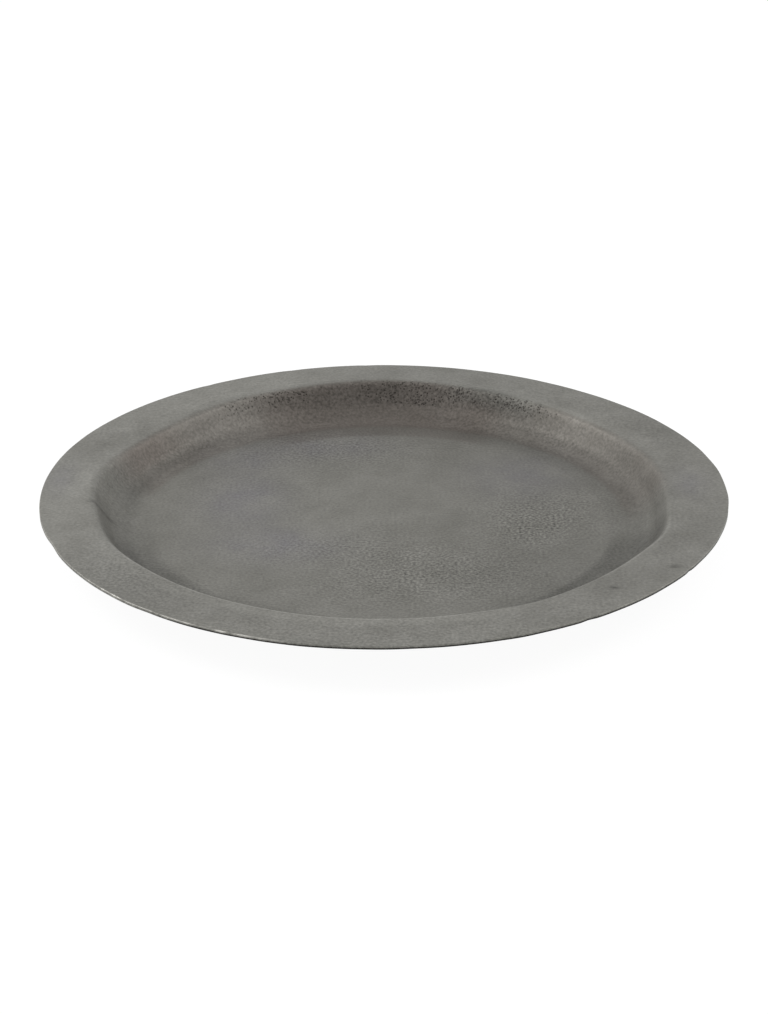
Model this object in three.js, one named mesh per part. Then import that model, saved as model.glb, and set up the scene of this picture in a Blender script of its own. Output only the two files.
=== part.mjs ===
// Round serving tray, in millimetres, +Z up. The origin lies on the table top, under the tray's centre.
// The tray is one sand casting: a level floor, a sloping wall and a wide flat rim with a thin lip.
// It stands on felt pads, and a disc of double-sided adhesive film sticks each pad to the underside.

import * as THREE from "three";

// Sizes of the casting
const TRAY_DIAMETER = 500;
const RIM_WIDTH = 40; // level top of the rim, from the lip in to the start of the shoulder bend
const WELL_DEPTH = 25; // from the top of the rim down to the floor
const WALL_SLOPE = THREE.MathUtils.degToRad(58); // measured from the horizontal
const CASTING_THICKNESS = 3.5; // floor, wall and the inner end of the rim
const LIP_THICKNESS = 2.5; // the rim thins to this at the lip
const LIP_EDGE_RADIUS = 0.9; // rounding of the lip's upper and lower edges
const SHOULDER_FILLET = 2.5; // underside, in the corner between the wall and the rim
const FLOOR_BEND_RADIUS = 22; // top face, where the wall runs out into the floor

// Sizes of the pads
const PAD_COUNT = 4;
const PAD_DIAMETER = 25;
const PAD_INSET = 16; // from the edge of the flat underside in to the edge of a pad
const FELT_THICKNESS = 2.7;
const ADHESIVE_THICKNESS = 0.3;
const ADHESIVE_MARGIN = 0.5; // the film is cut this much short of the felt's edge, all round

// Fineness of the round faces
const TRAY_SEGMENTS = 96;
const PAD_SEGMENTS = 48;
const ARC_DIVISIONS = 3; // half the number of chords in each bend of the profile

// Heights above the table top
const undersideHeight = FELT_THICKNESS + ADHESIVE_THICKNESS;
const floorHeight = undersideHeight + CASTING_THICKNESS;
const rimHeight = floorHeight + WELL_DEPTH;

// Radii of the casting. The wall is straight between the two bends that it is tangent to.
const lipRadius = TRAY_DIAMETER / 2;
const shoulderRadius = SHOULDER_FILLET + CASTING_THICKNESS;
const shoulderStart = lipRadius - RIM_WIDTH;
const bendsTogether = shoulderRadius + FLOOR_BEND_RADIUS;
const wallDrop = WELL_DEPTH - bendsTogether * (1 - Math.cos(WALL_SLOPE));
const wallRun = wallDrop / Math.tan(WALL_SLOPE);
const floorRadius = shoulderStart - bendsTogether * Math.sin(WALL_SLOPE) - wallRun;

// The pads stand on a circle that keeps them on the flat of the underside.
const padRadius = PAD_DIAMETER / 2;
const padCircleRadius = floorRadius - PAD_INSET - padRadius;

const UP = Math.PI / 2;
const DOWN = -Math.PI / 2;

// Half section of the casting, with the radius along x and the height along y. It runs from the axis
// out along the underside, round the lip and back along the top face to the axis.
function castingProfile() {
  const profile = new THREE.Path();
  const lipEdgeRadius = Math.min(LIP_EDGE_RADIUS, LIP_THICKNESS / 2);
  const lipEdgeStart = lipRadius - lipEdgeRadius;
  const lipUnderside = rimHeight - LIP_THICKNESS;
  const shoulderCentre = rimHeight - shoulderRadius;
  const floorBendCentre = floorHeight + FLOOR_BEND_RADIUS;
  const outerBendRadius = FLOOR_BEND_RADIUS + CASTING_THICKNESS;

  profile.moveTo(0, undersideHeight);
  profile.lineTo(floorRadius, undersideHeight);
  profile.absarc(floorRadius, floorBendCentre, outerBendRadius, DOWN, DOWN + WALL_SLOPE, false);
  profile.absarc(shoulderStart, shoulderCentre, SHOULDER_FILLET, UP + WALL_SLOPE, UP, true);
  profile.absarc(lipEdgeStart, lipUnderside + lipEdgeRadius, lipEdgeRadius, DOWN, 0, false);
  profile.absarc(lipEdgeStart, rimHeight - lipEdgeRadius, lipEdgeRadius, 0, UP, false);
  profile.absarc(shoulderStart, shoulderCentre, shoulderRadius, UP, UP + WALL_SLOPE, false);
  profile.absarc(floorRadius, floorBendCentre, FLOOR_BEND_RADIUS, DOWN + WALL_SLOPE, DOWN, true);
  profile.lineTo(0, floorHeight);
  return profile.getPoints(ARC_DIVISIONS);
}

// The casting: floor, wall, rim and lip turned in one piece.
function makeCasting() {
  const geometry = new THREE.LatheGeometry(castingProfile(), TRAY_SEGMENTS);
  geometry.rotateX(Math.PI / 2); // from the lathe's +Y axis to +Z
  const metal = new THREE.MeshStandardMaterial({ color: 0x82817c, roughness: 0.55, metalness: 1 });
  const casting = new THREE.Mesh(geometry, metal);
  casting.name = "cast_tray";
  return casting;
}

// A flat disc standing on z = 0.
function makeDisc(name, radius, thickness, material) {
  const geometry = new THREE.CylinderGeometry(radius, radius, thickness, PAD_SEGMENTS);
  geometry.rotateX(Math.PI / 2);
  geometry.translate(0, 0, thickness / 2);
  const disc = new THREE.Mesh(geometry, material);
  disc.name = name;
  return disc;
}

// One felt pad with the adhesive film on top of it, centred on its own origin on the table top.
function makePad(number) {
  const felt = new THREE.MeshStandardMaterial({ color: 0x3a3937, roughness: 0.95, metalness: 0 });
  const film = new THREE.MeshStandardMaterial({ color: 0xd9d4c6, roughness: 0.6, metalness: 0 });
  const pad = new THREE.Group();
  pad.add(makeDisc(`felt_pad_${number}`, padRadius, FELT_THICKNESS, felt));
  const adhesive = makeDisc(`adhesive_film_${number}`, padRadius - ADHESIVE_MARGIN, ADHESIVE_THICKNESS, film);
  adhesive.position.z = FELT_THICKNESS;
  pad.add(adhesive);
  return pad;
}

const tray = new THREE.Group();
tray.add(makeCasting());
for (let i = 0; i < PAD_COUNT; i++) {
  const angle = (2 * Math.PI * (i + 0.5)) / PAD_COUNT;
  const pad = makePad(i + 1);
  pad.position.set(padCircleRadius * Math.cos(angle), padCircleRadius * Math.sin(angle), 0);
  tray.add(pad);
}

export default tray;
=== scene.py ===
import functools
import math

import bmesh
import bpy
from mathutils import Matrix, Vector, noise


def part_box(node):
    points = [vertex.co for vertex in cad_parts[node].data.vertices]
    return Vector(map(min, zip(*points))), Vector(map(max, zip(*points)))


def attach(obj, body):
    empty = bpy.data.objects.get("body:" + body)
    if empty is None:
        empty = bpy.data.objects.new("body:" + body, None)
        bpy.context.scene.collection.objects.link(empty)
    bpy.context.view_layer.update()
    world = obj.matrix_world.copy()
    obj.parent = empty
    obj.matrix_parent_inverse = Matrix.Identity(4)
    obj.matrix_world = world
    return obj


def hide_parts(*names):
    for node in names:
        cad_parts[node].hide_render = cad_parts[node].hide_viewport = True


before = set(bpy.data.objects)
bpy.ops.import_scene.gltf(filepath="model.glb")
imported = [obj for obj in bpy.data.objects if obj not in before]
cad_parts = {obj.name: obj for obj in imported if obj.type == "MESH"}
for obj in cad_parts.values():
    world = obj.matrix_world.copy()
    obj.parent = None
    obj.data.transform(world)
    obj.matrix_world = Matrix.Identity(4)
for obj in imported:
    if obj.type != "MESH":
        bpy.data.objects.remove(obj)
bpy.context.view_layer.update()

# The casting: aluminium poured in one piece in a sand mould and given a dull grey nickel finish. It has a
# level floor, a sloping wall and a wide flat rim. The lip is dressed by hand, so it is never quite round,
# and the skin keeps the grain of the sand.
MM = 0.001
lowest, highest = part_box("cast_tray")
LIP_RADIUS = highest.x
RIM_HEIGHT = highest.z
UNDERSIDE_HEIGHT = lowest.z
RIM_WIDTH = 40 * MM
WELL_DEPTH = 25 * MM
WALL_SLOPE = math.radians(58)
CASTING_THICKNESS = RIM_HEIGHT - WELL_DEPTH - UNDERSIDE_HEIGHT
LIP_THICKNESS = 2.5 * MM
LIP_EDGE_RADIUS = 0.9 * MM
DRESSED_EDGE_RADIUS = 0.5 * MM
# A ring this far in from the lip keeps the painted highlight on its edge narrow.
HIGHLIGHT_RING_WIDTH = 1.2 * MM
SHOULDER_FILLET = 2.5 * MM
SHOULDER_RADIUS = SHOULDER_FILLET + CASTING_THICKNESS
FLOOR_BEND_RADIUS = 22 * MM
OUTER_BEND_RADIUS = FLOOR_BEND_RADIUS + CASTING_THICKNESS
SQUARE = math.radians(90)
SPIN_STEPS = 480
RING_SPACING = 3.5 * MM
MERGE_DISTANCE = 0.001 * MM


def fillet_reach(radius, turn):
    """How far along each side a fillet starts from its corner, where the sides turn by that angle."""
    return radius * math.tan(turn / 2)


floor_height = RIM_HEIGHT - WELL_DEPTH
shoulder_start = LIP_RADIUS - RIM_WIDTH
shoulder_corner = shoulder_start - fillet_reach(SHOULDER_RADIUS, WALL_SLOPE)
wall_foot = shoulder_corner - WELL_DEPTH / math.tan(WALL_SLOPE)
underside_shift = CASTING_THICKNESS * math.tan(WALL_SLOPE / 2)
floor_radius = wall_foot - fillet_reach(FLOOR_BEND_RADIUS, WALL_SLOPE)

# Corners of the half section, from the axis along the top to the lip and back underneath: radius, height,
# radius of the rounding, turn at the corner, steps in the rounding
casting_section = [
    (0, floor_height, 0, 0, 0),
    (wall_foot, floor_height, FLOOR_BEND_RADIUS, WALL_SLOPE, 10),
    (shoulder_corner, RIM_HEIGHT, SHOULDER_RADIUS, WALL_SLOPE, 8),
    (LIP_RADIUS - HIGHLIGHT_RING_WIDTH, RIM_HEIGHT, 0, 0, 0),
    (LIP_RADIUS, RIM_HEIGHT, DRESSED_EDGE_RADIUS, SQUARE, 4),
    (LIP_RADIUS, RIM_HEIGHT - LIP_THICKNESS, LIP_EDGE_RADIUS, SQUARE, 4),
    (shoulder_corner + underside_shift, RIM_HEIGHT - CASTING_THICKNESS, SHOULDER_FILLET, WALL_SLOPE, 4),
    (wall_foot + underside_shift, UNDERSIDE_HEIGHT, OUTER_BEND_RADIUS, WALL_SLOPE, 8),
    (0, UNDERSIDE_HEIGHT, 0, 0, 0),
]


def turn_section(section, spacing, steps):
    """A bmesh of a half section turned once round the Z axis, with its corners rounded."""
    bm = bmesh.new()
    corners = [bm.verts.new((radius, 0, height)) for radius, height, *_ in section]
    for pair in zip(corners, corners[1:]):
        bm.edges.new(pair)
    for corner, (_, _, rounding, turn, rounding_steps) in zip(corners, section):
        if rounding:
            bmesh.ops.bevel(bm, geom=[corner], offset=fillet_reach(rounding, turn), offset_type="OFFSET",
                            affect="VERTICES", segments=rounding_steps, profile=0.5, material=-1)
    for edge in bm.edges[:]:
        cuts = int(edge.calc_length() / spacing)
        if cuts:
            bmesh.ops.subdivide_edges(bm, edges=[edge], cuts=cuts)
    bmesh.ops.spin(bm, geom=bm.verts[:] + bm.edges[:], cent=(0, 0, 0), axis=(0, 0, 1), angle=math.tau,
                   steps=steps, use_merge=True)
    bmesh.ops.remove_doubles(bm, verts=bm.verts[:], dist=MERGE_DISTANCE)
    bmesh.ops.recalc_face_normals(bm, faces=bm.faces[:])
    for face in bm.faces:
        face.smooth = True
    return bm


def smooth_step(low, high, value):
    """0 below low, 1 above high, and an even rise between."""
    share = min(max((value - low) / (high - low), 0), 1)
    return share * share * (3 - 2 * share)


def ripple(point, width):
    """Smooth noise from -1 to 1 whose swells are about that wide."""
    return noise.noise(point / width)


def swell(point, width):
    """The same noise from 0 to 1."""
    return 0.5 + 0.5 * ripple(point, width)


def turned_from(angle, place):
    """How far an angle lies from a place given in degrees, the short way round."""
    return (angle - math.radians(place) + math.pi) % math.tau - math.pi


# The lip as it was dressed: how far it falls short of a true circle, each wave of its outline as waves
# round the lip, reach and turn, and its notches as place, width and depth
LIP_TRIM = 1.25 * MM
LIP_WAVES = [(3, 0.72 * MM, 23), (4, 0.28 * MM, 20), (5, 0.23 * MM, -63)]
LIP_NOTCHES = [(-57, 9 * MM, 0.9 * MM), (-33, 6 * MM, 0.6 * MM), (-129, 22 * MM, 0.7 * MM),
               (93, 9 * MM, 0.6 * MM), (107, 12 * MM, 0.6 * MM), (124, 7 * MM, 0.5 * MM),
               (-86, 26 * MM, 0.5 * MM), (14, 190 * MM, -0.5 * MM), (-158, 30 * MM, 1.2 * MM),
               (-69, 26 * MM, -0.5 * MM)]
LIP_WOBBLE = 0.3 * MM
LIP_WOBBLE_WIDTH = 22 * MM

# The shoulder as it was moulded: where it lies further out or slumps, over what width and by how much
SHOULDER_BULGES = [(90, 130 * MM, 7 * MM), (124, 70 * MM, 2.5 * MM), (-156, 90 * MM, 2.5 * MM),
                   (-61, 60 * MM, 1.5 * MM), (-20, 62 * MM, 3.8 * MM), (174, 90 * MM, 5 * MM)]
SHOULDER_SLUMPS = [(147, 120 * MM, 2.4 * MM), (38, 150 * MM, 2.4 * MM)]
SLUMP_WIDTH = 13 * MM
RIM_SAG = 0.5 * MM
RIM_SAG_WIDTH = 80 * MM
FLOOR_SAG = 0.3 * MM
FLOOR_SAG_WIDTH = 60 * MM


def heap(angle, radius, places):
    """The sum of soft bumps round a circle, each given as place, width and height."""
    return sum(height * math.exp(-(turned_from(angle, place) * radius / (width / 2)) ** 2)
               for place, width, height in places)


@functools.cache
def round_the_tray(angle):
    """At one angle: how far the lip falls short, how far the shoulder lies out and how far it slumps."""
    waves = sum(reach * math.cos(count * angle + math.radians(turn)) for count, reach, turn in LIP_WAVES)
    on_lip = Vector((math.cos(angle), math.sin(angle), 0)) * LIP_RADIUS
    shortfall = LIP_TRIM - waves + heap(angle, LIP_RADIUS, LIP_NOTCHES)
    shortfall += LIP_WOBBLE * ripple(on_lip, LIP_WOBBLE_WIDTH)
    bulge = heap(angle, shoulder_corner, SHOULDER_BULGES)
    slump = heap(angle, shoulder_corner, SHOULDER_SLUMPS)
    return shortfall, bulge, slump


def settle(vert, angle, radius, on_top):
    """Moves a point of the true round casting to where this casting has it."""
    x, y, z = vert.co
    flat_place = Vector((x, y, 0))
    shortfall, bulge, slump = round_the_tray(angle)
    across_rim = smooth_step(shoulder_start, LIP_RADIUS, radius)
    up_wall = smooth_step(floor_radius, shoulder_corner, radius)
    if radius > 0:
        shift = (radius + bulge * up_wall * (1 - across_rim) - shortfall * across_rim) / radius
        vert.co.x *= shift
        vert.co.y *= shift
    sag = RIM_SAG * swell(flat_place, RIM_SAG_WIDTH) * up_wall
    sag += slump * math.exp(-((radius - shoulder_start) / SLUMP_WIDTH) ** 2)
    if on_top:
        sag += FLOOR_SAG * swell(flat_place, FLOOR_SAG_WIDTH) * (1 - across_rim)
    vert.co.z -= min(sag, z - UNDERSIDE_HEIGHT)


# Stains, painted shade and painted light on the skin, in degrees and millimetres. A band has the angles
# and the radii that it lies between and its share. A patch has a place, its reach sideways and away, and
# its share. A crease line has its angle, the radii that it runs between, its width and its share.
BAND_BLEND = 3 * MM
BAND_TURN = math.radians(7)
PATCH_END = 4
PATCH_FADE = 1.2
# A warm, darker brown tint over the wall, from the right round to the rear-left.
WARM_BROWN_BANDS = [(3, 164, 178, 208, 0.3), (62, 118, 160, 209, 0.25), (56, 74, 201, 210, -0.3),
                 (144, 162, 195, 207, 0.25)]
PITTING_BANDS = [(74, 95, 197, 208, 1), (56, 76, 200, 209, 1), (106, 128, 201, 208, 0.95),
                 (46, 60, 201, 208, 0.5), (95, 107, 204, 208, 0.2)]
SPECKLE_BANDS = [(104, 152, 178, 198, 0.15), (38, 78, 178, 198, 0.15), (60, 126, 197, 208, 0.25)]
# Painted shade and painted light: walls, bends and corners darker where shade falls, rim and shoulder
# lighter where light falls.
SHADE_AND_LIGHT_BANDS = [(62, 118, 160, 206, -0.1), (66, 112, 188, 209, -0.14), (128, 172, 186, 204, -0.19),
              (192, 216, 184, 206, -0.18), (126, 172, 162, 180, 0.07), (34, 56, 207, 213, 0.22),
              (18, 64, 190, 205, -0.28), (10, 70, 164, 188, -0.08), (-16, 18, 184, 202, -0.13),
              (-75, -12, 168, 205, -0.3), (-178, -120, 168, 205, -0.1), (-66, -24, 158, 172, -0.07),
              (95, 145, 214, 250, 0.09), (155, 176, 222, 250, -0.06), (20, 36, 222, 250, -0.1),
              (-64, -14, 214, 250, -0.05), (160, 190, 183, 207, -0.13), (57, 71, 199, 211, -0.15),
              (-10, 8, 164, 184, -0.08), (-164, -146, 173, 200, -0.17), (-152, -126, 169, 200, -0.14),
              (-130, -100, 160.5, 196, -0.1), (-152, -66, 206, 219, 0.1)]
SHADE_AND_LIGHT_PATCHES = [(-232, 0, 40, 110, 0.1), (-175, -165, 90, 70, -0.13), (0, 235, 300, 20, -0.03),
                (235, 0, 30, 120, -0.03), (-60, 10, 110, 130, 0.07), (125, -30, 60, 110, -0.09),
                (85, -100, 60, 45, -0.09), (-20, -70, 40, 50, -0.08), (-45, 128, 55, 24, -0.02)]
BLOOM_PATCHES = [(-103, 112, 36, 30, 0.5), (-105, 35, 32, 46, 0.8), (-76, -43, 46, 28, 0.8),
                 (105, 81, 40, 40, 0.7), (-40, 140, 50, 24, 0.6), (-236, 20, 14, 30, 0.5),
                 (225, 10, 14, 26, 0.5)]
GRIT_PATCHES = [(0, -232, 200, 45, 0.25), (120, 17, 42, 34, 0.8), (107, -18, 30, 30, 1),
                (47, -83, 62, 40, 0.85), (-41, 131, 70, 30, 0.75), (-60, -49, 50, 26, 0.5),
                (0, -60, 40, 60, 0.4), (10, -118, 80, 30, 0.35), (-90, 50, 60, 60, 0.2),
                (-174, -140, 60, 45, 0.3)]
NICKS = [(155, -164, 3, 2.4, 0.65), (200, -132, 3.6, 2.6, 0.6)]
# A crease is drawn only as a thin line of painted shade down the wall.
CREASE_SHADES = [(185, 194, 210, 2.4, 0.42)]

# Painted highlights on the lip's edge and the shoulder: where they lie, how far in from them and how wide
LIP_HIGHLIGHT_BANDS = [(-146, -109, 240, 260, 0.45), (-117, -110, 240, 260, 2), (-140, -133, 240, 260, 0.4)]
LIP_HIGHLIGHT_INSET = 0.3 * MM
LIP_HIGHLIGHT_WIDTH = 0.35 * MM
LIP_HIGHLIGHT_BREAK = 9 * MM
LIP_HIGHLIGHT_STARTS = -0.5
LIP_HIGHLIGHT_FULL = 0.35
SHOULDER_HIGHLIGHT_BANDS = [(-152, -112, 200, 212, 0.2), (-112, -72, 200, 212, 0.28),
                      (-44, -14, 200, 214, 0.14)]
SHOULDER_HIGHLIGHT_INSET = 2 * MM
SHOULDER_HIGHLIGHT_WIDTH = 1.3 * MM

# The well is tinted darker than the rim, and the tint fades out over the shoulder. The underside keeps
# some soot, and the lip's side gets painted shade.
WELL_FADE_INSIDE = 3 * MM
WELL_FADE_OUTSIDE = 4 * MM
UNDERSIDE_SOOT = 0.35
UNDERSIDE_GRIT = 0.8
# The lip's side gets painted shade all round, strongest round the front.
LIP_SIDE_SHADE = 0.15
LIP_SIDE_SHADE_BANDS = [(-126, 20, 246, 260, 0.85)]
LIP_TOP_SHARE = 0.4
LIP_CORNER_SHARE = 0.3

# Angles are rounded, so that the points on one line out from the axis share what is worked out for it
ANGLE_DIGITS = 5


def between(inner, outer, radius):
    """1 between two radii in millimetres and 0 beyond them, with a soft edge."""
    rise = smooth_step(inner * MM - BAND_BLEND, inner * MM + BAND_BLEND, radius)
    fall = smooth_step(outer * MM - BAND_BLEND, outer * MM + BAND_BLEND, radius)
    return rise - fall


def banded(angle, radius, bands):
    """The sum of the bands at an angle and a radius."""
    share = 0
    for start, end, inner, outer, strength in bands:
        away = abs(turned_from(angle, (start + end) / 2))
        half = math.radians(end - start) / 2
        if away < half + BAND_TURN:
            along = 1 - smooth_step(half - BAND_TURN, half + BAND_TURN, away)
            share += strength * along * between(inner, outer, radius)
    return share


def crease_shade(angle, radius, creases):
    """The sum of thin lines of painted shade along creases that run down the wall."""
    share = 0
    for place, inner, outer, width, strength in creases:
        away = turned_from(angle, place) * radius
        share += strength * math.exp(-(away / (width * MM)) ** 2) * between(inner, outer, radius)
    return share


def patched(x, y, patches):
    """The sum of the patches at a place on the tray, at most 1."""
    share = 0
    for place_x, place_y, reach_x, reach_y, strength in patches:
        away = ((x / MM - place_x) / reach_x) ** 2 + ((y / MM - place_y) / reach_y) ** 2
        if away < PATCH_END:
            share += strength * math.exp(-away * PATCH_FADE)
    return min(share, 1)


def stain_and_shade_top(vert, masks, angle, radius):
    """Writes the stains, the painted light and shade and the painted highlights of the top face at a
    point.
    """
    x, y, _ = vert.co
    fade_start = shoulder_corner - WELL_FADE_INSIDE
    fade_end = shoulder_start + WELL_FADE_OUTSIDE
    vert[masks["well"]] = 1 - smooth_step(fade_start, fade_end, radius)
    vert[masks["warm_brown_tint"]] = banded(angle, radius, WARM_BROWN_BANDS)
    vert[masks["pitting"]] = banded(angle, radius, PITTING_BANDS)
    vert[masks["painted_light_and_shade"]] = patched(x, y, SHADE_AND_LIGHT_PATCHES) + banded(angle, radius, SHADE_AND_LIGHT_BANDS)
    vert[masks["soot_and_shade"]] = patched(x, y, NICKS) + crease_shade(angle, radius, CREASE_SHADES)
    vert[masks["blue_bloom"]] = patched(x, y, BLOOM_PATCHES)
    vert[masks["grit"]] = max(patched(x, y, GRIT_PATCHES), banded(angle, radius, SPECKLE_BANDS))
    on_edge = math.exp(-((radius - (LIP_RADIUS - LIP_HIGHLIGHT_INSET)) / LIP_HIGHLIGHT_WIDTH) ** 2)
    on_edge *= smooth_step(LIP_HIGHLIGHT_STARTS, LIP_HIGHLIGHT_FULL, ripple(Vector((x, y, 0)), LIP_HIGHLIGHT_BREAK))
    on_shoulder = math.exp(-((radius - shoulder_start + SHOULDER_HIGHLIGHT_INSET) / SHOULDER_HIGHLIGHT_WIDTH) ** 2)
    vert[masks["painted_highlight"]] = (on_edge * banded(angle, radius, LIP_HIGHLIGHT_BANDS)
                           + on_shoulder * banded(angle, radius, SHOULDER_HIGHLIGHT_BANDS))


def stain_and_shade_underside(vert, masks, angle, radius):
    """Writes the soot and grit of the underside, and the painted shade on the lip's side, at a point."""
    side_start = LIP_RADIUS - LIP_EDGE_RADIUS
    side_end = LIP_RADIUS - LIP_CORNER_SHARE * LIP_EDGE_RADIUS
    on_side = smooth_step(side_start, side_end, radius)
    side_soot = LIP_SIDE_SHADE + banded(angle, radius, LIP_SIDE_SHADE_BANDS)
    vert[masks["soot_and_shade"]] = UNDERSIDE_SOOT + (side_soot - UNDERSIDE_SOOT) * on_side
    vert[masks["grit"]] = UNDERSIDE_GRIT


casting = turn_section(casting_section, RING_SPACING, SPIN_STEPS)
masks = {name: casting.verts.layers.float.new(name)
         for name in ("warm_brown_tint", "pitting", "blue_bloom", "grit", "painted_highlight", "soot_and_shade", "well", "painted_light_and_shade")}
for vert in casting.verts:
    x, y, z = vert.co
    radius = math.hypot(x, y)
    angle = round(math.atan2(y, x), ANGLE_DIGITS)
    in_well = radius < shoulder_start and vert.normal.z > 0
    on_top = in_well or z > RIM_HEIGHT - LIP_TOP_SHARE * LIP_THICKNESS
    if on_top:
        stain_and_shade_top(vert, masks, angle, radius)
    else:
        stain_and_shade_underside(vert, masks, angle, radius)
    settle(vert, angle, radius, on_top)


def linear(hex_colour):
    """The linear colour that a shader's socket holds, from an sRGB hex value."""
    channels = [int(hex_colour[i:i + 2], 16) / 255 for i in (1, 3, 5)]
    return [*(c / 12.92 if c <= 0.04045 else ((c + 0.055) / 1.055) ** 2.4 for c in channels), 1]


def new_material(name):
    """A new material, its node tree and its shader."""
    material = bpy.data.materials.new(name)
    material.use_nodes = True
    return material, material.node_tree, material.node_tree.nodes["Principled BSDF"]


def add_node(tree, kind, inputs=None, **settings):
    """Adds a node with its settings. An input is a value, or another node's output to link."""
    node = tree.nodes.new(kind)
    for name, value in settings.items():
        setattr(node, name, value)
    for socket, value in (inputs or {}).items():
        if isinstance(value, bpy.types.NodeSocket):
            tree.links.new(value, node.inputs[socket])
        else:
            node.inputs[socket].default_value = value
    return node


def add_piece(name, bm, material):
    """Adds a bmesh to the scene as an object of that name, which sits at the origin."""
    mesh = bpy.data.meshes.new(name)
    bm.to_mesh(mesh)
    bm.free()
    mesh.materials.append(material)
    piece = bpy.data.objects.new(name, mesh)
    bpy.context.scene.collection.objects.link(piece)
    return piece


# Aluminium cast in sand, with a matt nickel finish: a broken grey sheen over a sandy grain, a warm brown
# tint and dark pits at the rear, a faint blue bloom on the floor, painted shade and painted light, and
# painted highlights, drawn as pale, smoother metal, on the lip's edge and the shoulder. Real grain and
# pits are too fine to show at this size, so both are drawn as coarse as they need to show.
GRAIN_WIDTH = 2.1 * MM
GRAIN_DEPTH = 0.12 * MM
CALM_GRAIN = 0.65
GRITTY_GRAIN = 2.3
MOTTLE_WIDTH = 34 * MM
MOTTLE_ROUGHNESS = 0.65
PIT_SPACING = 1.7 * MM
PIT_CORE = 0.12
PIT_EDGE = 0.6
PIT_FAINT = -0.2
PIT_FULL = 0.3
PIT_CLUSTER_WIDTH = 11 * MM
PIT_CLUSTER_LEAST = 0.35
NOISE_LOW = 0.35
NOISE_HIGH = 0.65
BLOOM_THIN = 0.5
BLOOM_THICK = 1.5
SKIN_ROUGHNESS = 0.58
RUBBED_ROUGHNESS = 0.4
SKIN_PALE = "#9e9d98"
SKIN_DARK = "#72716b"
PIT_COLOUR = "#2b2825"
# Tints: the well's darker tint, the blue bloom, the warm brown tint, the painted highlights as pale
# metal, and the soot with painted shade.
TINTS = [("well", 0.25, "#6b6a64"), ("blue_bloom", 0.5, "#7f7d84"), ("warm_brown_tint", 0.8, "#6c5e58"),
         ("painted_highlight", 1, "#cbc9c3"), ("soot_and_shade", 1, "#1e1d1a")]

# Sockets of a Mix node that mixes colours
MIX_SHARE = 0
MIX_FIRST = 6
MIX_SECOND = 7
MIXED = 2

metal, tree, shader = new_material("sand_cast_nickel")
place = add_node(tree, "ShaderNodeTexCoord").outputs["Object"]
share = {name: add_node(tree, "ShaderNodeAttribute", attribute_name=name).outputs["Fac"]
         for name in masks}
grain = add_node(tree, "ShaderNodeTexNoise",
                 {"Vector": place, "Scale": 1 / GRAIN_WIDTH, "Detail": 2}).outputs["Fac"]
mottle = add_node(tree, "ShaderNodeTexNoise",
                  {"Vector": place, "Scale": 1 / MOTTLE_WIDTH, "Detail": 5,
                   "Roughness": MOTTLE_ROUGHNESS}).outputs["Fac"]

# Pits: a cell of the pattern is a pit where its own chance value lies under the pitting there
cells = add_node(tree, "ShaderNodeTexVoronoi", {"Vector": place, "Scale": 1 / PIT_SPACING})
cluster = add_node(tree, "ShaderNodeTexNoise",
                   {"Vector": place, "Scale": 1 / PIT_CLUSTER_WIDTH, "Detail": 2}).outputs["Fac"]
cluster = add_node(tree, "ShaderNodeMapRange",
                   {"Value": cluster, "From Min": NOISE_LOW, "From Max": NOISE_HIGH,
                    "To Min": PIT_CLUSTER_LEAST}).outputs[0]
pitting = add_node(tree, "ShaderNodeMath", {0: share["pitting"], 1: cluster},
                   operation="MULTIPLY").outputs[0]
pit_depth = add_node(tree, "ShaderNodeMath", {0: pitting, 1: cells.outputs["Color"]},
                     operation="SUBTRACT").outputs[0]
pit_depth = add_node(tree, "ShaderNodeMapRange",
                     {"Value": pit_depth, "From Min": PIT_FAINT, "From Max": PIT_FULL}).outputs[0]
pit_shape = add_node(tree, "ShaderNodeMapRange",
                     {"Value": cells.outputs["Distance"], "From Min": PIT_CORE, "From Max": PIT_EDGE,
                      "To Min": 1, "To Max": 0}).outputs[0]
pit = add_node(tree, "ShaderNodeMath", {0: pit_depth, 1: pit_shape}, operation="MULTIPLY").outputs[0]

# Colour: the mottled skin and its tints, then the grain and the painted light and shade, then the pits
patchy = add_node(tree, "ShaderNodeMapRange",
                  {"Value": mottle, "From Min": NOISE_LOW, "From Max": NOISE_HIGH,
                   "To Min": BLOOM_THIN, "To Max": BLOOM_THICK}).outputs[0]
share["blue_bloom"] = add_node(tree, "ShaderNodeMath", {0: share["blue_bloom"], 1: patchy},
                               operation="MULTIPLY").outputs[0]
colour = add_node(tree, "ShaderNodeMix",
                  {MIX_SHARE: mottle, MIX_FIRST: linear(SKIN_PALE), MIX_SECOND: linear(SKIN_DARK)},
                  data_type="RGBA").outputs[MIXED]
for name, strength, tint in TINTS:
    amount = add_node(tree, "ShaderNodeMath", {0: share[name], 1: strength},
                      operation="MULTIPLY").outputs[0]
    colour = add_node(tree, "ShaderNodeMix",
                      {MIX_SHARE: amount, MIX_FIRST: colour, MIX_SECOND: linear(tint)},
                      data_type="RGBA").outputs[MIXED]
contrast = add_node(tree, "ShaderNodeMapRange",
                    {"Value": share["grit"], "To Min": CALM_GRAIN, "To Max": GRITTY_GRAIN}).outputs[0]
swing = add_node(tree, "ShaderNodeMath", {0: grain, 1: 0.5}, operation="SUBTRACT").outputs[0]
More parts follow.
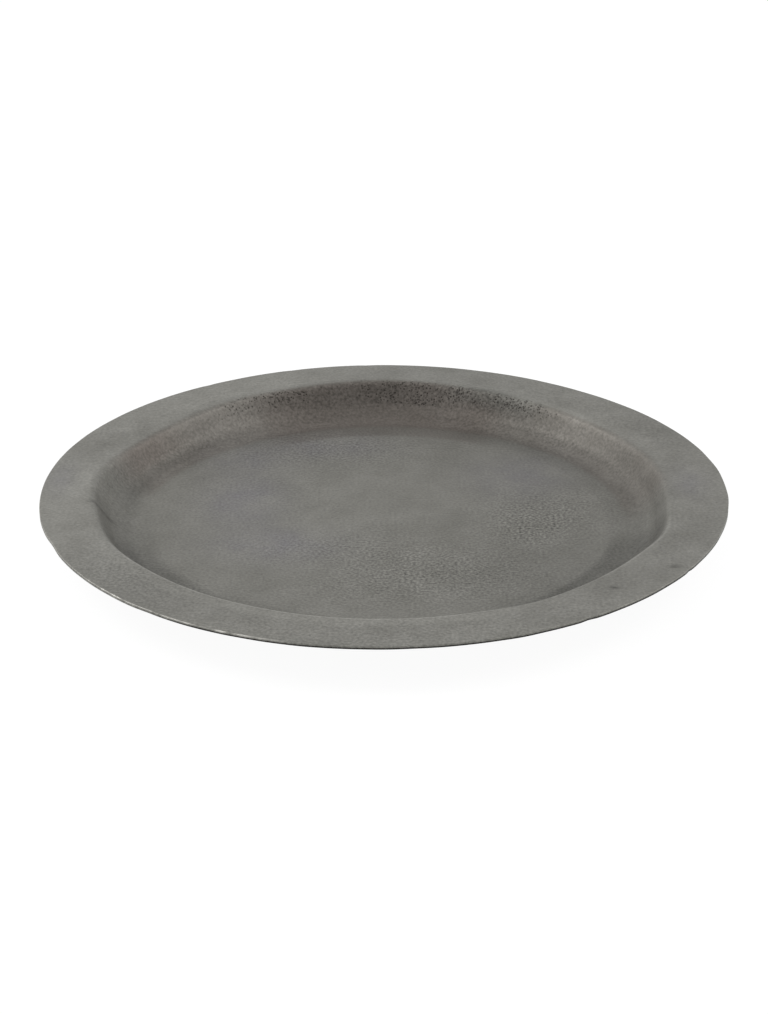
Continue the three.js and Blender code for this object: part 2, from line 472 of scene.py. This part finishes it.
# The painted light and shade scale the colour along with the grain.
painted_light_and_shade = add_node(tree, "ShaderNodeMath", {0: share["painted_light_and_shade"], 1: 1}, operation="ADD").outputs[0]
grain_and_painted_shading = add_node(tree, "ShaderNodeMath", {0: swing, 1: contrast, 2: painted_light_and_shade},
                 operation="MULTIPLY_ADD").outputs[0]
colour = add_node(tree, "ShaderNodeMix", {MIX_SHARE: 1, MIX_FIRST: colour, MIX_SECOND: grain_and_painted_shading},
                  data_type="RGBA", blend_type="MULTIPLY").outputs[MIXED]
colour = add_node(tree, "ShaderNodeMix",
                  {MIX_SHARE: pit, MIX_FIRST: colour, MIX_SECOND: linear(PIT_COLOUR)},
                  data_type="RGBA").outputs[MIXED]

# Relief and gloss: raised grain, sunken pits, and a smoother skin under the painted highlights
height = add_node(tree, "ShaderNodeMath", {0: grain, 1: contrast}, operation="MULTIPLY").outputs[0]
height = add_node(tree, "ShaderNodeMath", {0: height, 1: pit}, operation="SUBTRACT").outputs[0]
bump = add_node(tree, "ShaderNodeBump", {"Height": height, "Distance": GRAIN_DEPTH}).outputs["Normal"]
rough = add_node(tree, "ShaderNodeMapRange",
                 {"Value": share["painted_highlight"], "To Min": SKIN_ROUGHNESS,
                  "To Max": RUBBED_ROUGHNESS}).outputs[0]
shader.inputs["Metallic"].default_value = 1
tree.links.new(colour, shader.inputs["Base Color"])
tree.links.new(rough, shader.inputs["Roughness"])
tree.links.new(bump, shader.inputs["Normal"])
tray = add_piece("cast_tray_skin", casting, metal)
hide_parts("cast_tray")
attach(tray, "root")

# Adhesive film: a thin disc of double-sided film that sticks each pad to the casting's flat underside.
# It is die-cut a little smaller than the felt, so that no glue shows.
PADS = range(1, 5)
PAD_STEPS = 96
FILM_EDGE_RADIUS = 0.06 * MM
FILM_EDGE_STEPS = 2

# Glue on a paper carrier: a dull off-white, a little yellower in blotches where the glue is thicker.
GLUE_BLOTCH_WIDTH = 2.5 * MM
FILM_PALE = "#dcd7ca"
FILM_YELLOWED = "#d2ccbb"
FILM_ROUGHNESS = 0.6
film, tree, shader = new_material("adhesive_film")
place = add_node(tree, "ShaderNodeTexCoord").outputs["Object"]
glue = add_node(tree, "ShaderNodeTexNoise",
                {"Vector": place, "Scale": 1 / GLUE_BLOTCH_WIDTH, "Detail": 2}).outputs["Fac"]
colour = add_node(tree, "ShaderNodeMix",
                  {MIX_SHARE: glue, MIX_FIRST: linear(FILM_PALE), MIX_SECOND: linear(FILM_YELLOWED)},
                  data_type="RGBA").outputs[MIXED]
tree.links.new(colour, shader.inputs["Base Color"])
shader.inputs["Roughness"].default_value = FILM_ROUGHNESS
for number in PADS:
    lowest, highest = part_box(f"adhesive_film_{number}")
    middle = (lowest + highest) / 2
    reach = (highest.x - lowest.x) / 2
    film_section = [
        (0, highest.z, 0, 0, 0),
        (reach, highest.z, FILM_EDGE_RADIUS, SQUARE, FILM_EDGE_STEPS),
        (reach, lowest.z, FILM_EDGE_RADIUS, SQUARE, FILM_EDGE_STEPS),
        (0, lowest.z, 0, 0, 0),
    ]
    bm = turn_section(film_section, reach, PAD_STEPS)
    bmesh.ops.translate(bm, verts=bm.verts[:], vec=(middle.x, middle.y, 0))
    disc = add_piece(f"adhesive_film_{number}_disc", bm, film)
    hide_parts(f"adhesive_film_{number}")
    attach(disc, "root")

# Felt pads: discs die-cut from pressed grey felt and stuck on under the films, so that the raw casting
# doesn't scratch the table. The cut edge is soft and a little furry.
FELT_TOP_EDGE_RADIUS = 0.3 * MM
FELT_TOP_EDGE_STEPS = 3
FELT_EDGE_RADIUS = 0.6 * MM
FELT_EDGE_STEPS = 5
FELT_RING_SPACING = 1.5 * MM
FURRY_EDGE = 1.5 * MM
FELT_WOBBLE = 0.12 * MM
FELT_WOBBLE_WIDTH = 1.6 * MM

# Pressed wool felt: matt dark grey, with short paler fibres, flecks of uneven dye and a soft sheen at a
# glancing angle. Real fibres are too fine to show, so they are drawn coarser.
FIBRE_WIDTH = 0.5 * MM
FIBRE_DEPTH = 0.1 * MM
FLECK_WIDTH = 4 * MM
FELT_DARK = "#2f2e2c"
FELT_PALE = "#474643"
FELT_FLECK = "#3a3937"
FELT_ROUGHNESS = 0.95
FELT_SHEEN = 0.3
felt, tree, shader = new_material("pressed_felt")
place = add_node(tree, "ShaderNodeTexCoord").outputs["Object"]
fibre = add_node(tree, "ShaderNodeTexNoise",
                 {"Vector": place, "Scale": 1 / FIBRE_WIDTH, "Detail": 3, "Distortion": 2}).outputs["Fac"]
fleck = add_node(tree, "ShaderNodeTexNoise",
                 {"Vector": place, "Scale": 1 / FLECK_WIDTH, "Detail": 2}).outputs["Fac"]
colour = add_node(tree, "ShaderNodeMix",
                  {MIX_SHARE: fibre, MIX_FIRST: linear(FELT_DARK), MIX_SECOND: linear(FELT_PALE)},
                  data_type="RGBA").outputs[MIXED]
colour = add_node(tree, "ShaderNodeMix",
                  {MIX_SHARE: fleck, MIX_FIRST: colour, MIX_SECOND: linear(FELT_FLECK)},
                  data_type="RGBA").outputs[MIXED]
bump = add_node(tree, "ShaderNodeBump", {"Height": fibre, "Distance": FIBRE_DEPTH}).outputs["Normal"]
tree.links.new(colour, shader.inputs["Base Color"])
tree.links.new(bump, shader.inputs["Normal"])
shader.inputs["Roughness"].default_value = FELT_ROUGHNESS
shader.inputs["Sheen Weight"].default_value = FELT_SHEEN
for number in PADS:
    lowest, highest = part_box(f"felt_pad_{number}")
    middle = (lowest + highest) / 2
    reach = (highest.x - lowest.x) / 2
    felt_section = [
        (0, highest.z, 0, 0, 0),
        (reach, highest.z, FELT_TOP_EDGE_RADIUS, SQUARE, FELT_TOP_EDGE_STEPS),
        (reach, lowest.z, FELT_EDGE_RADIUS, SQUARE, FELT_EDGE_STEPS),
        (0, lowest.z, 0, 0, 0),
    ]
    bm = turn_section(felt_section, FELT_RING_SPACING, PAD_STEPS)
    for vert in bm.verts:
        radius = math.hypot(vert.co.x, vert.co.y)
        furry = smooth_step(reach - FURRY_EDGE, reach, radius)
        own_place = Vector((vert.co.x, vert.co.y, vert.co.z + number))
        inward = FELT_WOBBLE * furry * swell(own_place, FELT_WOBBLE_WIDTH)
        if radius > 0:
            vert.co.x *= (radius - inward) / radius
            vert.co.y *= (radius - inward) / radius
    bmesh.ops.translate(bm, verts=bm.verts[:], vec=(middle.x, middle.y, 0))
    disc = add_piece(f"felt_pad_{number}_disc", bm, felt)
    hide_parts(f"felt_pad_{number}")
    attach(disc, "root")

# The table top: a plain white sweep that the tray stands on, one sheet that curves up all round it.
# It keeps the tray's soft shadow.
SWEEP_RADIUS = 5.0
SWEEP_HEIGHT = 1.3
SWEEP_BEND = 1.0
SWEEP_BEND_STEPS = 8
sweep_section = [
    (0, 0, 0, 0, 0),
    (SWEEP_RADIUS, 0, SWEEP_BEND, SQUARE, SWEEP_BEND_STEPS),
    (SWEEP_RADIUS, SWEEP_HEIGHT, 0, 0, 0),
]

# Matt white paper: an even white to the camera and in reflections, with only a share of the shadow, while
# the light that it sends back to the tray is that of plain paper.
SHADOW_SHARE = 0.1
WHITE_LEVEL = 1.02
LIGHT_ON_PAPER = 0.8
PAPER_COLOUR = "#f4f4f2"
white, tree, _ = new_material("white_sweep")
tree.nodes.clear()
path = add_node(tree, "ShaderNodeLightPath").outputs
seen = add_node(tree, "ShaderNodeMath", {0: path["Is Camera Ray"], 1: path["Is Glossy Ray"]},
                operation="MAXIMUM").outputs[0]
seen = add_node(tree, "ShaderNodeMath", {0: seen, 1: path["Is Transmission Ray"]},
                operation="MAXIMUM").outputs[0]
matt = add_node(tree, "ShaderNodeBsdfDiffuse", {"Color": linear(PAPER_COLOUR)}).outputs[0]
shaded = add_node(tree, "ShaderNodeBsdfDiffuse",
                  {"Color": [SHADOW_SHARE, SHADOW_SHARE, SHADOW_SHARE, 1]}).outputs[0]
glow = add_node(tree, "ShaderNodeEmission",
                {"Strength": WHITE_LEVEL - LIGHT_ON_PAPER * SHADOW_SHARE}).outputs[0]
lit = add_node(tree, "ShaderNodeAddShader", {0: shaded, 1: glow}).outputs[0]
either = add_node(tree, "ShaderNodeMixShader", {0: seen, 1: matt, 2: lit}).outputs[0]
add_node(tree, "ShaderNodeOutputMaterial", {"Surface": either})
table_top = add_piece("table_top", turn_section(sweep_section, SWEEP_RADIUS, PAD_STEPS), white)

# Studio light: a soft white surround, brightest behind and above the tray and dimmest on the camera's
# side, with a softbox on the left and a weaker one on the right. Each is aimed at the tray.
BRIGHT_SIDE = Vector((-0.12, 0.6, 0.8)).normalized()
DIM_LEVEL = 0.02
BRIGHT_LEVEL = 1.04
SOFTBOX_WIDTH = 1.2
SOFTBOXES = [("left_softbox", Vector((-1.6, 0.35, 1.3)), 20),
             ("right_softbox", Vector((1.6, 0.35, 1.3)), 13)]
world = bpy.data.worlds.new("studio")
bpy.context.scene.world = world
world.use_nodes = True
tree = world.node_tree
tree.nodes.clear()
direction = add_node(tree, "ShaderNodeTexCoord").outputs["Generated"]
facing = add_node(tree, "ShaderNodeVectorMath", {0: direction, 1: BRIGHT_SIDE},
                  operation="DOT_PRODUCT").outputs["Value"]
level = add_node(tree, "ShaderNodeMapRange",
                 {"Value": facing, "From Min": -1, "From Max": 1,
                  "To Min": DIM_LEVEL, "To Max": BRIGHT_LEVEL}).outputs[0]
surround = add_node(tree, "ShaderNodeBackground", {"Strength": level}).outputs[0]
add_node(tree, "ShaderNodeOutputWorld", {"Surface": surround})
for name, place, watts in SOFTBOXES:
    lamp_data = bpy.data.lights.new(name, "AREA")
    lamp_data.shape = "SQUARE"
    lamp_data.size = SOFTBOX_WIDTH
    lamp_data.energy = watts
    lamp = bpy.data.objects.new(name, lamp_data)
    bpy.context.scene.collection.objects.link(lamp)
    lamp.location = place
    lamp.rotation_euler = (-place).to_track_quat("-Z", "Y").to_euler()

# The camera: a long lens in front of the tray, a little above it. It is aimed just below the middle of
# the rim, and the focal length is in pixels of an image 1014 high.
CAMERA_ELEVATION = math.radians(23.95)
CAMERA_DISTANCE = 1.875
CAMERA_ROLL = math.radians(-0.17)
FRAME_HEIGHT = 1014
FOCAL_PIXELS = 2577
SENSOR = 36
AIM_RIGHT = 0.9 * MM
AIM_DOWN = 13.3 * MM
camera_data = bpy.data.cameras.new("camera")
camera_data.sensor_width = SENSOR
camera_data.lens = SENSOR * FOCAL_PIXELS / FRAME_HEIGHT
camera = bpy.data.objects.new("camera", camera_data)
bpy.context.scene.collection.objects.link(camera)
rim_centre = Vector((0, 0, RIM_HEIGHT))
toward_camera = Vector((0, -math.cos(CAMERA_ELEVATION), math.sin(CAMERA_ELEVATION)))
image_up = Vector((0, math.sin(CAMERA_ELEVATION), math.cos(CAMERA_ELEVATION)))
camera.location = rim_centre + toward_camera * CAMERA_DISTANCE
aim = rim_centre - image_up * AIM_DOWN + Vector((AIM_RIGHT, 0, 0))
camera.rotation_euler = (aim - camera.location).to_track_quat("-Z", "Y").to_euler()
camera.rotation_euler.rotate_axis("Z", CAMERA_ROLL)
bpy.context.scene.camera = camera
bpy.context.scene.view_settings.view_transform = "Standard"
